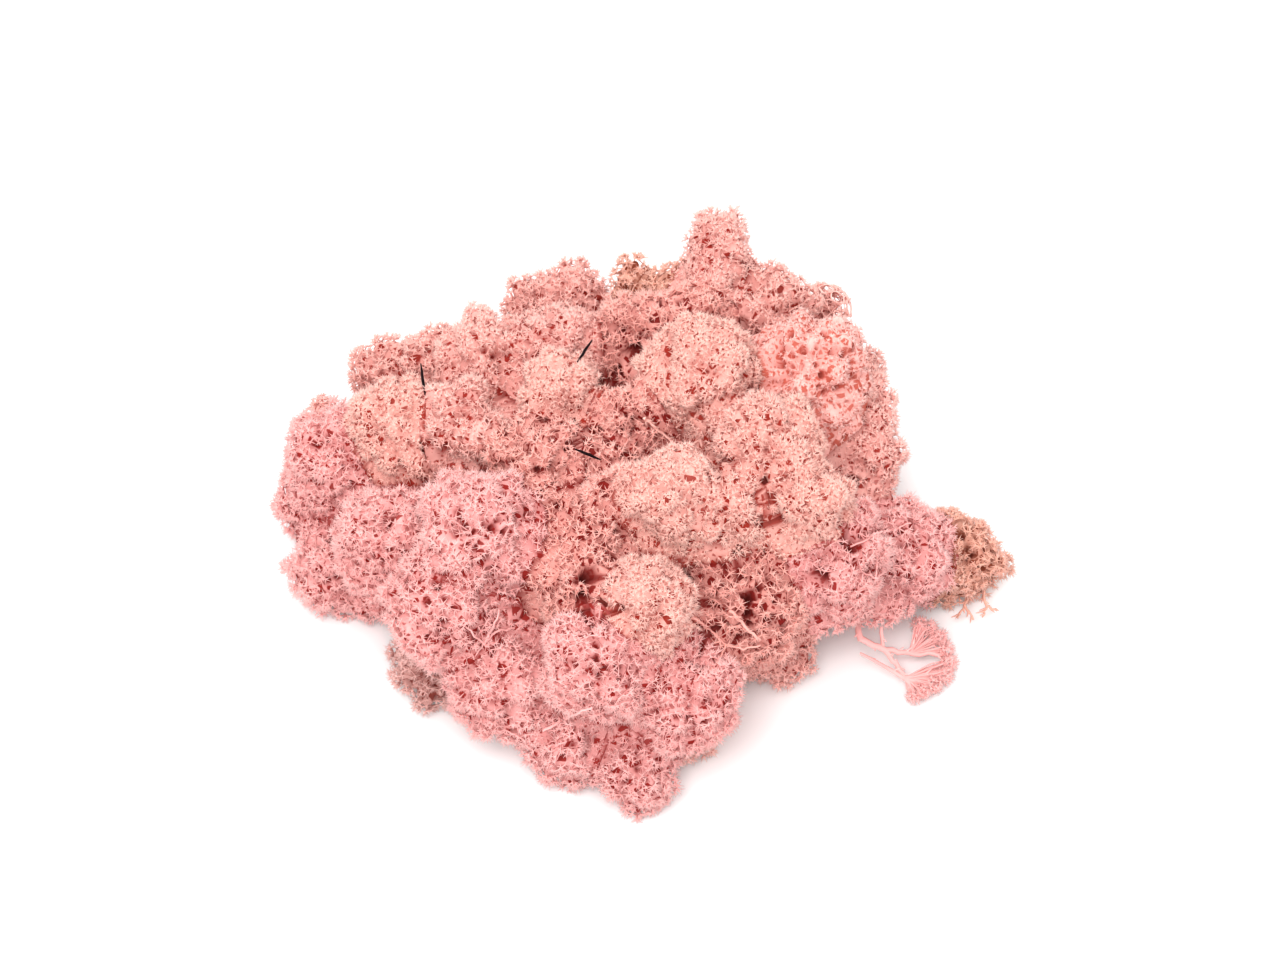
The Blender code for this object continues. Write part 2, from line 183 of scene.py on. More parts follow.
# Each head: name, millimetres across and up the picture from its middle, height of the
# head's centre above the ground, radius, look.
HEADS = (
    ("finger_tip", 17.8, 79.8, 50, 7.8, "blush"),
    ("finger_base", 16.3, 70.0, 44, 9.0, "blush"),
    ("back_brown_left", -2.0, 73.5, 36, 4.4, "tan"),
    ("back_brown_right", 5.0, 69.5, 38, 6.0, "tan"),
    ("fan_left", -24.0, 66.5, 26, 8.0, "back"),
    ("fan_right", -16.5, 67.5, 30, 8.8, "back"),
    ("back_shaded_left", 0.0, 58.5, 42, 10.2, "shaded"),
    ("back_shaded_right", 11.5, 61.5, 44, 9.2, "shaded"),
    ("back_right", 28.5, 64.0, 38, 11.0, "back"),
    ("lacy_rim", 42.0, 65.2, 28, 6.6, "lacy"),
    ("crown", 13.5, 49.5, 53, 12.8, "cream"),
    ("lattice", 37.0, 49.5, 44, 14.0, "lattice"),
    ("right_rim_back", 48.8, 52.5, 28, 7.0, "blush"),
    ("right_rim", 49.0, 43.0, 32, 8.8, "blush"),
    ("crown_right_upper", 27.5, 34.5, 54, 11.0, "cream"),
    ("crown_right_lower", 35.5, 22.0, 48, 10.2, "cream"),
    ("right_rim_front", 51.0, 30.5, 28, 8.4, "blush"),
    ("column_top", 5.5, 23.5, 54, 10.6, "cream"),
    ("column_side", 18.0, 20.0, 49, 8.8, "cream"),
    ("column_bottom", 2.0, 0.5, 46, 10.2, "cream"),
    ("cream_head", -17.0, 45.5, 48, 9.6, "cream"),
    ("cream_back", -18.5, 56.0, 41, 10.6, "blush"),
    ("left_back", -34.0, 53.5, 38, 11.6, "blush"),
    ("left_back_pair", -46.0, 53.0, 31, 8.4, "back"),
    ("left_back_rim", -57.0, 49.5, 24, 9.2, "back"),
    ("left_rim_small", -71.0, 38.5, 17, 7.0, "back"),
    ("left_cream", -53.0, 38.5, 37, 11.4, "cream"),
    ("left_cream_right", -38.5, 39.5, 42, 10.2, "blush"),
    ("left_outer", -67.5, 31.0, 26, 12.4, "pink"),
    ("left_rim_low", -75.2, 21.5, 11.0, 9.2, "pink"),
    ("left_front_low", -68.5, 7.0, 9.0, 11.0, "low"),
    ("left_front", -55.5, 13.0, 30, 12.0, "pink"),
    ("mound_top", -35.0, 15.5, 47, 14.0, "pink"),
    ("valley_back", -22.5, 29.5, 44, 11.2, "shaded"),
    ("valley_middle", -9.0, 17.5, 45, 9.6, "shaded"),
    ("valley_upper", -2.5, 39.5, 48, 8.4, "shaded"),
    ("valley_dark", -8.0, 30.5, 43, 8.0, "shaded"),
    ("valley_front", -13.0, 4.5, 42, 9.6, "shaded"),
    ("mound_left", -42.5, -0.5, 35, 13.0, "pink"),
    ("mound_front", -9.0, -12.0, 37, 12.4, "pink"),
    ("low_left_grey", -45.0, -14.5, 7.6, 10.2, "grey"),
    ("front_left", -30.0, -17.5, 19.0, 12.8, "low"),
    ("front_low", -15.5, -30.0, 9.0, 10.6, "low"),
    ("front_tip", -1.0, -36.0, 8.0, 9.6, "low"),
    ("front_right", 9.5, -20.0, 25, 12.4, "pink"),
    ("front_right_low", 10.5, -27.5, 7.0, 8.0, "blush"),
    ("right_low", 30.0, -11.0, 7.4, 9.2, "back"),
    ("stem_hollow", 22.5, -1.0, 29, 12.8, "hollow"),
    ("right_front", 42.0, 9.0, 32, 12.8, "pink"),
    ("right_outer", 57.0, 9.5, 17.0, 12.8, "low"),
    ("tan_head", 73.0, 9.5, 9.0, 10.2, "tan"),
    ("hidden_back_left", -28.0, 47.5, 11, 14.5, "rear"),
    ("hidden_back_middle", 2.0, 51.5, 10, 15.0, "rear"),
    ("hidden_back_right", 32.0, 48.0, 12, 15.5, "rear"),
    ("hidden_middle", 0.0, 10.5, 17, 19.0, "hidden"),
    ("hidden_left", -36.0, 12.0, 20, 15.0, "hidden"),
)

# Each look: spacing of the stars, length of their arms, depth of the core under the tips,
# bridges from star to star, spacing and radius of the open holes, and the finish. Lengths
# are in millimetres.
LOOKS = {
    "cream": (0.92, 1.10, 1.8, 0, 3.3, 0.42, "cream"),
    "blush": (0.98, 1.12, 1.9, 0, 3.3, 0.48, "blush"),
    "pink": (1.05, 1.28, 2.2, 1, 3.1, 0.70, "pink"),
    "low": (1.05, 1.25, 2.2, 1, 3.1, 0.62, "low"),
    "grey": (1.15, 1.15, 2.3, 1, 3.2, 0.60, "grey"),
    "lattice": (1.25, 0.90, 0.9, 0, 2.9, 0.72, "lattice"),
    "lacy": (1.20, 0.90, 3.6, 2, 3.2, 1.00, "blush"),
    "shaded": (1.02, 1.15, 2.3, 1, 3.0, 0.72, "shaded"),
    "back": (1.08, 1.10, 2.1, 1, 3.6, 0.52, "back"),
    "tan": (1.08, 1.10, 2.4, 1, 3.2, 0.80, "tan"),
    "hollow": (1.12, 1.40, 3.4, 1, 3.2, 1.10, "shaded"),
    "rear": (1.22, 1.35, 2.0, 0, 3.8, 0.55, "back"),
    "hidden": (1.90, 1.40, 2.6, 0, 9.0, 1.00, "shaded"),
}
# Looks whose open holes have a smooth rim.
RIMMED = ("lacy",)

# Each finish: colour of the tips, of the branches, and the painted shade of the deepest places
# down between the branches, as a paint table gives them in red, green and blue up to 255, and
# how closely the inner net is woven.
FINISHES = {
    "cream": ((255, 214, 200), (255, 199, 187), (148, 46, 36), 1.0),
    "blush": ((255, 212, 201), (255, 197, 187), (146, 44, 36), 0.95),
    "lattice": ((255, 214, 205), (255, 200, 192), (186, 92, 78), 0.4),
    "pink": ((255, 208, 203), (255, 190, 186), (142, 38, 34), 0.85),
    "low": ((255, 208, 204), (255, 192, 188), (144, 42, 38), 0.85),
    # The grey finish is a duller pink with painted shade, for the low head in shadow by the ground.
    "grey": ((248, 208, 202), (232, 182, 174), (126, 58, 50), 0.8),
    "shaded": ((255, 208, 196), (250, 182, 171), (122, 28, 24), 0.75),
    "back": ((255, 210, 199), (250, 190, 180), (138, 46, 38), 0.9),
    "tan": ((252, 208, 190), (242, 184, 164), (128, 62, 44), 0.8),
}
# Some patches of pale tips turn to this pink, and the deepest cavities to this red of painted shade.
PINKER = (255, 198, 193)
CAVITY_SHADE_RED = (88, 16, 12)
NEEDLE_DARK = (16, 6, 10)
NEEDLE_PALE = (46, 20, 24)

# How fine the materials' patterns are: soft patches, pink areas, and the coarse and fine net.
PATCH_SCALE = 90.0
PINK_SCALE = 38.0
NET_SCALE = 430.0
FINE_NET_SCALE = 900.0
STREAK_SCALE = 900.0

# Cavities among the heads, sunk into the surface and given painted shade: millimetres across and
# up the picture, and radius.
CAVITIES = (
    (10.8, 6.8, 2.2),
    (16.3, 11.4, 1.6),
    (21.3, 9.5, 1.4),
    (-9.7, 7.0, 2.4),
    (-11.4, -0.2, 1.8),
    (-6.8, -1.1, 1.4),
    (4.6, -10.6, 1.5),
    (27.9, 17.4, 1.6),
    (43.6, 15.2, 1.4),
    (46.9, 12.8, 1.5),
    (48.2, 9.5, 1.5),
    (39.4, 5.1, 1.6),
    (36.7, 5.9, 1.2),
    (-13.6, 34.5, 2.4),
    (-33.2, 28.6, 1.4),
    (-15.4, 14.1, 1.6),
    (-21.1, 21.6, 1.5),
    (-1.5, 53.0, 2.2),
    (-6.8, 47.1, 1.8),
    (14.3, 61.6, 1.5),
    (22.9, 41.1, 1.8),
    (17.6, 29.0, 1.4),
    (45.3, 24.6, 1.4),
    (25.5, 22.7, 1.5),
    (24.0, 3.0, 1.6),
    (30.0, -2.0, 1.5),
    (14.0, -6.5, 1.5),
    (-50.6, 28.8, 1.6),
    (-43.6, 32.6, 2.2),
    (-32.3, 37.6, 1.8),
    (-44.7, 45.3, 1.6),
    (-36.1, 44.9, 1.3),
    (-46.0, 23.8, 1.4),
    (-39.2, 26.4, 1.5),
    (-52.1, 18.9, 1.8),
    (-25.1, 48.0, 1.2),
    (-37.4, 17.2, 0.9),
    (-29.9, 16.5, 1.0),
    (-23.8, 19.6, 1.3),
)

# Bare stems that show in the hollows: the head that they belong to, the thickest radius, and
# the places that they run through, in millimetres across and up the picture.
STEMS = (
    ("column_top", 0.55, ((0.9, 39.6), (5.0, 36.2), (8.8, 33.2), (13.0, 35.0))),
    ("column_top", 0.40, ((13.0, 35.0), (14.2, 32.0), (15.6, 29.3))),
    ("column_top", 0.35, ((8.8, 33.2), (5.8, 33.4), (2.2, 31.4))),
    ("mound_left", 0.50, ((-33.2, -8.4), (-31.2, -4.8), (-29.7, -1.1))),
    ("mound_left", 0.40, ((-33.2, -8.4), (-35.0, -6.6), (-36.7, -4.4))),
    ("mound_left", 0.40, ((-33.2, -8.4), (-30.0, -5.6), (-26.8, -5.1))),
    ("mound_left", 0.35, ((-33.2, -8.4), (-34.2, -10.0), (-35.6, -11.7))),
    ("mound_left", 0.35, ((-33.2, -8.4), (-31.4, -10.4), (-29.5, -11.7))),
    ("mound_front", 0.50, ((-20.7, -27.3), (-16.4, -24.8), (-12.5, -22.2), (-10.1, -21.1))),
    ("stem_hollow", 0.60, ((11.1, -2.4), (14.6, -5.4), (18.3, -8.8))),
    ("stem_hollow", 0.50, ((19.1, -1.1), (22.0, -4.4), (24.6, -7.0), (29.7, -10.3))),
    ("stem_hollow", 0.45, ((33.4, -0.2), (32.8, -3.6), (31.2, -7.0))),
    ("stem_hollow", 0.45, ((18.3, -8.8), (16.8, -11.8), (14.5, -14.1))),
    ("stem_hollow", 0.40, ((18.3, -8.8), (22.0, -9.6), (25.5, -8.8))),
    ("right_front", 0.45, ((51.0, 15.0), (48.0, 13.2), (44.9, 12.3))),
    ("right_front", 0.45, ((51.0, 15.0), (51.2, 12.2), (50.8, 9.0), (50.6, 5.3))),
    ("right_front", 0.40, ((51.0, 15.0), (55.0, 15.4), (59.2, 16.9))),
    ("right_front", 0.40, ((50.6, 5.3), (47.6, 6.6), (44.9, 6.8))),
    ("right_front", 0.40, ((50.6, 5.3), (48.0, 2.0), (46.4, -1.5))),
    ("right_front", 0.40, ((50.6, 5.3), (51.6, 2.0), (51.9, -1.5))),
    ("right_front", 0.40, ((50.6, 5.3), (54.4, 7.4), (58.0, 8.0))),
)
# Stems lie this far under the tips, with this much room beside them and a point at each step.
# They are made a little slimmer than in the table, thin out by a share, and bend by up to so
# many millimetres. Their twigs are this long, in millimetres.
STEM_SUNK = 0.9 * MM
STEM_ROOM = 0.6 * MM
STEM_STEP = 0.9 * MM
STEM_SLIMMER = 0.8
STEM_THINNING = 0.35
STEM_BEND = 0.22
TWIG_LENGTHS = (0.8, 1.9)
# The line of sight is followed down from this height, in millimetres, in these steps.
SIGHT_START = 75.0
SIGHT_STEP = 0.4 * MM
SIGHT_STEPS = 260

# The open sprig, whose bare forked branches show beside the clump. Each branch runs from one
# place to the next and tapers: millimetres across and up the picture, height, radius.
SPRIG_BRANCHES = (
    ((47.3, -2.3, 10.3, 0.9), (48.8, -9.0, 8.0, 1.1)),
    ((48.4, -8.4, 8.3, 1.1), (54.6, -11.4, 6.0, 1.0)),
    ((54.2, -11.2, 6.1, 1.0), (60.2, -12.0, 4.6, 0.75)),
    ((54.2, -11.2, 6.1, 1.0), (56.6, -14.0, 5.2, 0.75)),
    ((56.2, -13.4, 5.4, 0.8), (58.4, -17.6, 4.2, 0.8)),
    ((58.1, -17.0, 4.3, 0.8), (60.4, -20.4, 3.3, 0.7)),
    ((48.6, -11.9, 5.6, 0.45), (58.3, -17.3, 4.3, 0.8)),
    ((53.4, -6.0, 9.0, 0.6), (53.6, -11.0, 6.4, 0.7)),
    ((59.8, -12.0, 4.7, 0.8), (62.2, -5.6, 5.0, 0.7)),
    ((59.8, -12.0, 4.7, 0.8), (65.8, -8.4, 4.6, 0.7)),
    ((59.8, -12.0, 4.7, 0.8), (67.6, -12.2, 4.0, 0.7)),
    ((58.1, -17.2, 4.3, 0.8), (67.4, -16.2, 3.6, 0.7)),
    ((58.1, -17.2, 4.3, 0.8), (63.8, -19.0, 3.4, 0.7)),
)
# The tufts at the sprig's rim, in the same way.
SPRIG_TUFTS = (
    (62.2, -5.6, 5.0, 2.1),
    (64.6, -6.6, 4.8, 2.0),
    (66.4, -8.6, 4.6, 2.2),
    (67.8, -11.2, 4.2, 2.3),
    (68.4, -14.0, 3.8, 2.3),
    (67.2, -16.8, 3.5, 2.3),
    (64.8, -18.8, 3.3, 2.3),
    (62.2, -20.2, 3.1, 2.2),
    (60.2, -21.4, 3.0, 1.8),
)
# Where the fine branches of the sprig's upper and lower tufts start, and what parts them.
SPRIG_FORKS = ((59.8, -12.0, 4.7), (58.6, -17.2, 4.2))
SPRIG_HALFWAY = -13.0
# Bare branches: points in each, bend in millimetres, thickness as a share of the table's,
# nearness to a tip, and lengths of their nubs in millimetres.
BARE_POINTS = 5
BARE_BEND = 0.3
BARE_SLIMMER = 0.68
BARE_TIP = 0.42
NUB_LENGTHS = (0.8, 1.8)
# Stars of the tufts: places tried, spacing and length of the arms in millimetres, and how far
# out in the tuft they stand.
TUFT_PLACES_TRIED = 900
TUFT_SPACING = 0.95
TUFT_ARM = 1.15
TUFT_REACH = (0.6, 1.0)
# Bare forks under the tan head, in the same way as the sprig's branches.
TAN_FORKS = (
    ((74.5, 3.0, 6.0, 0.6), (72.5, -1.5, 4.5, 0.5)),
    ((72.5, -1.5, 4.5, 0.5), (70.8, -4.4, 3.5, 0.35)),
    ((72.5, -1.5, 4.5, 0.5), (74.4, -4.8, 3.5, 0.35)),
    ((76.5, 2.5, 6.0, 0.6), (77.5, -1.8, 4.5, 0.5)),
    ((77.5, -1.8, 4.5, 0.5), (76.4, -4.2, 3.8, 0.35)),
    ((77.5, -1.8, 4.5, 0.5), (79.8, -2.8, 4.0, 0.35)),
    ((70.5, 2.0, 6.0, 0.5), (69.0, -0.8, 5.0, 0.35)),
)
NEEDLES = ("needle_left", "needle_middle", "needle_valley")
# How much longer needles are than their solids, how far they are raised, and then the points
# in each, the bend, and the radii at the ends and beyond that in the middle, in millimetres.
NEEDLE_LONGER = 1.2
NEEDLE_RAISED = 3.0 * MM
NEEDLE_POINTS = 9
NEEDLE_BEND = 0.06
NEEDLE_ENDS = 0.14
NEEDLE_SWELL = 0.2


def world_place(across, up, height):
    """Turns a place in the picture and a height, in millimetres, into metres in the world."""
    depth = (up - height * math.cos(VIEW_ELEVATION)) / math.sin(VIEW_ELEVATION)
    return Vector((across, depth, height)) * MM + CLUMP_SHIFT


def linear(color):
    """A colour of 0 to 255 as the linear values that materials take."""
    shares = [value / 255.0 for value in color]
    return tuple(s / 12.92 if s <= 0.04045 else ((s + 0.055) / 1.055) ** 2.4 for s in shares)


class Value:
    """A socket of a node tree that can be used in sums."""

    def __init__(self, tree, socket):
        self.tree, self.socket = tree, socket

    def math(self, operation, *others):
        """This value worked on with the others by a Math node."""
        node = self.tree.new("ShaderNodeMath", dict(enumerate((self, *others))), operation=operation)
        return Value(self.tree, node.outputs[0])

    def __add__(self, other):
        return self.math("ADD", other)

    __radd__ = __add__

    def __sub__(self, other):
        return self.math("SUBTRACT", other)

    def __rsub__(self, other):
        return self.math("MULTIPLY", -1.0) + other

    def __mul__(self, other):
        return self.math("MULTIPLY", other)

    __rmul__ = __mul__

    def clamp(self):
        """The value held between 0 and 1."""
        return self.math("MAXIMUM", 0.0).math("MINIMUM", 1.0)


class Tree:
    """A node tree with short ways to add nodes and to join them."""

    def __init__(self, tree):
        self.tree = tree

    def new(self, kind, inputs=None, **settings):
        """Adds a node, first with its settings and then with its sockets' values or links."""
        node = self.tree.nodes.new(kind)
        for name, value in settings.items():
            setattr(node, name, value)
        for name, value in (inputs or {}).items():
            self.set(node.inputs[name], value)
        return node

    def set(self, socket, value):
        """Gives a socket a number, a colour or a link."""
        if isinstance(value, Value):
            self.tree.links.new(value.socket, socket)
        elif isinstance(value, bpy.types.NodeSocket):
            self.tree.links.new(value, socket)
        else:
            socket.default_value = value

    def attribute(self, name):
        """A number that the mesh keeps for each point."""
        node = self.new("ShaderNodeAttribute", attribute_name=name)
        return Value(self, node.outputs["Fac"])

    def noise(self, place, scale):
        """Soft noise about zero."""
        node = self.new("ShaderNodeTexNoise", {"Vector": place, "Scale": scale, "Detail": 2.0})
        return Value(self, node.outputs["Fac"]) - 0.5

    def mix(self, share, first, second):
        """The first colour turned into the second by a share."""
        node = self.new("ShaderNodeMix", data_type="RGBA")
        self.set(node.inputs["Factor"], share)
        for name, color in (("A", first), ("B", second)):
            socket = next(s for s in node.inputs if s.name == name and s.type == "RGBA")
            self.set(socket, color)
        return next(s for s in node.outputs if s.type == "RGBA")


def holes(tree, place, scale, least):
    """Rounded holes of uneven size in a net: 1 in a hole and 0 on the net."""
    warp = tree.new("ShaderNodeTexNoise", {"Vector": place, "Scale": scale * 0.6})
    terms = {0: warp.outputs["Color"], 1: (0.5 / scale,) * 3, 2: place}
    bend = tree.new("ShaderNodeVectorMath", terms, operation="MULTIPLY_ADD")
    pattern = {"Vector": bend.outputs[0], "Scale": scale}
    border = tree.new("ShaderNodeTexVoronoi", pattern, feature="DISTANCE_TO_EDGE")
    cells = tree.new("ShaderNodeTexVoronoi", pattern, feature="F1")
    chance = tree.new("ShaderNodeSeparateColor", {"Color": cells.outputs["Color"]})
    edge = Value(tree, chance.outputs["Red"]) * 0.30 + least
    return ((Value(tree, border.outputs["Distance"]) - edge) * 16.0).clamp()


def moss_material(name, tips, branches, deep, closeness):
    """Pale at the tips, in soft patches, with painted shade in deep red down between the
    branches, in the holes of the inner net and where the shade value says, darkest in cavities.
    """
    material = bpy.data.materials.new(name)
    material.use_nodes = True
    tree = Tree(material.node_tree)
    shader = material.node_tree.nodes["Principled BSDF"]
    place = tree.new("ShaderNodeTexCoord").outputs["Object"]
    patch = tree.noise(place, PATCH_SCALE) * 2.4
    pink = (tree.noise(place, PINK_SCALE) * 3.0 + 0.35).clamp()
    tip, tint, shade = tree.attribute("tip"), tree.attribute("tint"), tree.attribute("shade")
    inside = 1.0 - (tip * 8.0).clamp()
    # The inner net is painted on the core, and its holes show the painted deep shade.
    coarse = holes(tree, place, NET_SCALE, 0.10 * closeness)
    open_share = coarse.math("MAXIMUM", holes(tree, place, FINE_NET_SCALE, 0.13 * closeness) * 0.7)
    net = (0.95 - open_share + patch * 0.15).clamp()
    paleness = (tip * 2.0 - 1.0 + patch * 0.4 + (tint - 0.5) * 0.5).clamp()
    # How pale each spot is against the painted deep shade: tips and the painted net's strands are
    # pale, and the shade value pushes creases, seams, holes and hidden heads into the painted shade.
    depth = tip * 2.0 + patch * 0.2 + inside * net * 0.85
    depth = depth * (1.0 - shade.clamp() * 0.92)
    pale_tips = tree.mix(pink * 0.7, (*linear(tips), 1.0), (*linear(PINKER), 1.0))
    pale = tree.mix(paleness, (*linear(branches), 1.0), pale_tips)
    color = tree.mix(depth.clamp(), (*linear(deep), 1.0), pale)
    # The deepest cavities take a darker red of painted shade.
    cavity_shade = (shade - 1.0).clamp() * 0.85
    color = tree.mix(cavity_shade, color, (*linear(CAVITY_SHADE_RED), 1.0))
    tree.set(shader.inputs["Base Color"], color)
    shader.inputs["Roughness"].default_value = 0.9
    shader.inputs["Specular IOR Level"].default_value = 0.15
    return material


def branch_group(name, sides):
    """Geometry nodes that turn a skeleton of edges into tapered branches."""
    group = bpy.data.node_groups.new(name, "GeometryNodeTree")
    socket = "NodeSocketGeometry"
    group.interface.new_socket("Geometry", in_out="INPUT", socket_type=socket)
    group.interface.new_socket("Geometry", in_out="OUTPUT", socket_type=socket)
    tree = Tree(group)
    start, end = tree.new("NodeGroupInput"), tree.new("NodeGroupOutput")
    width = tree.new("GeometryNodeInputNamedAttribute", {"Name": "width"}, data_type="FLOAT")
    curve = tree.new("GeometryNodeMeshToCurve", {"Mesh": start.outputs[0]})
    ring = tree.new("GeometryNodeCurvePrimitiveCircle", {"Resolution": sides, "Radius": 1.0})
    parts = {"Curve": curve.outputs["Curve"], "Profile Curve": ring.outputs["Curve"]}
    parts.update({"Scale": width.outputs["Attribute"], "Fill Caps": True})
    tube = tree.new("GeometryNodeCurveToMesh", parts)
    parts = {"Geometry": tube.outputs["Mesh"], "Distance": MERGE_DISTANCE}
    joined = tree.new("GeometryNodeMergeByDistance", parts)
    smooth = tree.new("GeometryNodeSetShadeSmooth", {"Geometry": joined.outputs["Geometry"]})
    tree.set(end.inputs[0], smooth.outputs["Geometry"])
    return group


def spaced(points, limits):
    """Picks points in their order that keep their distance from those picked before."""
    tree = KDTree(len(points))
    for i, point in enumerate(points):
        tree.insert(point, i)
    tree.balance()
    kept, free = [], [True] * len(points)
    for i, point in enumerate(points):
        if free[i]:
            kept.append(i)
            for _, other, _ in tree.find_range(point, limits[i]):
                free[other] = False
    return kept


def set_values(mesh, label, values):
    """Keeps a number for each point of the mesh, which the materials read."""
    layer = mesh.attributes.new(label, "FLOAT", "POINT")
    layer.data.foreach_set("value", np.array(values, "f"))


class Skeleton:
    """Branches as chains of points, each with a width, nearness to a tip, tint and shade."""

    def __init__(self):
        self.places, self.links, self.widths = [], [], []
        self.tips, self.tints, self.shades = [], [], []

    def branch(self, places, widths, tips, tint, shade=0.0):
        """Adds one chain of points."""
        first = len(self.places)
        self.places += places
        self.widths += widths
        self.tips += tips
        self.tints += [tint] * len(places)
        self.shades += [shade] * len(places)
        self.links += [(first + i, first + i + 1) for i in range(len(places) - 1)]

    def mesh(self, name):
        """The chains as a mesh of edges, kept off the ground."""
        mesh = bpy.data.meshes.new(name)
        mesh.vertices.add(len(self.places))
        mesh.edges.add(len(self.links))
        places = np.array(self.places, "f")
        places[:, 2] = np.maximum(places[:, 2], LOWEST_BRANCH)
        mesh.vertices.foreach_set("co", places.ravel())
        mesh.edges.foreach_set("vertices", np.array(self.links, "i").ravel())
        set_values(mesh, "width", self.widths)
        set_values(mesh, "tip", self.tips)
        set_values(mesh, "tint", self.tints)
        set_values(mesh, "shade", self.shades)
        return mesh


class Clump:
    """All heads as rounded drops that run into each other."""

    def __init__(self):
        places = [world_place(*head[1:4]) for head in HEADS]
        roots = [root_of(place) for place in places]
        self.radii = np.array([head[4] * MM for head in HEADS])
        self.centres = np.array(places)
        self.inward = np.array([(r - p).normalized() for r, p in zip(roots, places)])

    def near(self, index):
        """The heads that can reach the surface of this one, and itself."""
        gaps = np.linalg.norm(self.centres - self.centres[index], axis=1)
        return np.nonzero(gaps < BLEND_REACH * (self.radii + self.radii[index]))[0]

    def distance(self, points, which):
        """How far each point is outside the joined heads, or negative inside."""
        away = points[:, None, :] - self.centres[which][None, :, :]
        length = self.radii[which] * DRAWN_OUT
        inward = self.inward[which]
        along = np.clip((away * inward[None, :, :]).sum(axis=2), 0.0, length[None, :])
        across = away - along[:, :, None] * inward[None, :, :]
        swell = 1.0 + WIDER * along / length[None, :]
        gap = np.linalg.norm(across, axis=2) - self.radii[which][None, :] * swell
        return -BLEND * np.log(np.exp(-gap / BLEND).sum(axis=1)) + BLEND_SUNK


def root_of(place):
    """Where the head at this place has its root."""
    x = (place.x - CLUMP_SHIFT.x) * ROOT_SHARE + CLUMP_SHIFT.x
    y = (place.y - CLUMP_SHIFT.y) * ROOT_SHARE + CLUMP_SHIFT.y
    return Vector((x, y, ROOT_HEIGHT))


